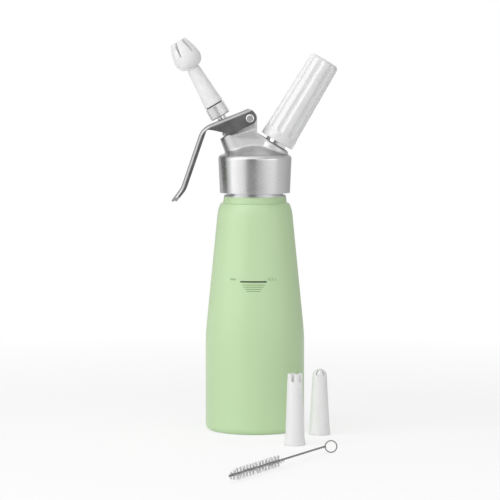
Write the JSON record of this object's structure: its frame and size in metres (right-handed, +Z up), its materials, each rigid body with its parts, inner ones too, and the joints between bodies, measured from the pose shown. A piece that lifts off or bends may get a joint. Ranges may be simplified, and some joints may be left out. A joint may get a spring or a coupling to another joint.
{
  "type": "whipped cream dispenser",
  "caption": "Tapered coated bottle with a screw-on metal head, squeeze lever, tulip nozzle, gas charger in its holder, spare tips and a cleaning brush.",
  "frame": {"origin": "centre of the bottle's flat base, on the surface it stands on", "axes": "+Z up along the bottle's axis; the nozzle and its lever lean to -X, the gas charger leans to +X, and the fill mark faces -Y"},
  "size_m": [0.1341, 0.3206, 0.3176],
  "materials": {
    "green_coat": "satin lacquer",
    "neck_metal": "turned",
    "head_metal": "satin, turned collar and cast dome",
    "lever_steel": "pressed sheet, satin",
    "screw_steel": "polished",
    "valve_steel": "turned",
    "spring_steel": "drawn wire",
    "adapter_metal": "knurled",
    "black_rubber": "moulded",
    "gasket_silicone": "moulded silicone",
    "piercer_brass": "turned",
    "charger_steel": "plated steel",
    "holder_plastic": "gloss white",
    "tip_plastic": "satin white",
    "brush_wire": "twisted wire",
    "brush_nylon": "nylon bristles"
  },
  "bodies": {
    "bottle": {"bottle_shell": "green_coat", "threaded_neck": "neck_metal"},
    "gasket": {"head_gasket": "gasket_silicone"},
    "head": {"head_body": "head_metal", "valve_gland_nut": "valve_steel", "stem_oring": "black_rubber", "pivot_screw": "screw_steel", "pivot_nut": "screw_steel", "charger_nipple": "valve_steel", "piercer": "piercer_brass", "check_sleeve": "black_rubber", "charger_seal": "black_rubber", "valve_spring": "spring_steel"},
    "lever_arm": {"lever": "lever_steel"},
    "valve": {"valve_stem": "valve_steel", "valve_seal": "black_rubber", "seal_retainer": "piercer_brass", "stem_pad": "valve_steel", "nozzle_adapter": "adapter_metal"},
    "tip_seat": {"tip_gasket": "black_rubber"},
    "tip": {"tulip_tip": "tip_plastic"},
    "charger": {"gas_charger": "charger_steel"},
    "holder": {"charger_holder": "holder_plastic", "holder_pad": "black_rubber"},
    "straight_spare": {"straight_tip": "tip_plastic"},
    "star_spare": {"star_tip": "tip_plastic"},
    "brush": {"brush_wire": "brush_wire", "brush_bristles": "brush_nylon"}
  },
  "joints": [
    {"name": "head_lift", "type": "slide", "parent": "bottle", "child": "gasket", "axis": [0, 0, 1], "range_m": [0, 0.0121]},
    {"name": "head_turn", "type": "hinge", "parent": "gasket", "child": "head", "pos_m": [0, 0, 0.2], "axis": [0, 0, 1], "range_deg": [0, 1080]},
    {"name": "lever_press", "type": "hinge", "parent": "head", "child": "lever_arm", "pos_m": [-0.004, 0, 0.2527], "axis": [0, -1, 0], "range_deg": [0, 10], "stiffness_Nm_per_rad": 1.2, "springref_deg": -9.17},
    {"name": "valve_stroke", "type": "slide", "parent": "head", "child": "valve", "axis": [0.5, 0, -0.866], "range_m": [0, 0.0036], "deforming": ["valve_spring"]},
    {"name": "tip_feed", "type": "slide", "parent": "valve", "child": "tip_seat", "axis": [-0.5, 0, 0.866], "range_m": [0, 0.0076]},
    {"name": "tip_turn", "type": "hinge", "parent": "tip_seat", "child": "tip", "pos_m": [-0.03355, 0, 0.26461], "axis": [-0.5, 0, 0.866], "range_deg": [0, 1080]},
    {"name": "charger_feed", "type": "slide", "parent": "head", "child": "charger", "axis": [0.515, 0, 0.8572], "range_m": [0, 0.0106]},
    {"name": "holder_turn", "type": "hinge", "parent": "charger", "child": "holder", "pos_m": [0.0309, 0, 0.25643], "axis": [0.515, 0, 0.8572], "range_deg": [0, 1800]},
    {"name": "straight_tip_lift", "type": "slide", "parent": "bottle", "child": "straight_spare", "axis": [0, 0, 1], "range_m": [0, 0.1]},
    {"name": "star_tip_lift", "type": "slide", "parent": "bottle", "child": "star_spare", "axis": [0, 0, 1], "range_m": [0, 0.1]},
    {"name": "brush_lift", "type": "slide", "parent": "bottle", "child": "brush", "axis": [0, 0, 1], "range_m": [0, 0.1]}
  ],
  "couplings": [
    {"joint": "head_lift", "follows": "head_turn", "m_per_rad": 0.00063662},
    {"joint": "valve_stroke", "follows": "lever_press", "m_per_rad": 0.01955},
    {"joint": "tip_feed", "follows": "tip_turn", "m_per_rad": 0.00039789},
    {"joint": "charger_feed", "follows": "holder_turn", "m_per_rad": 0.00033423}
  ]
}
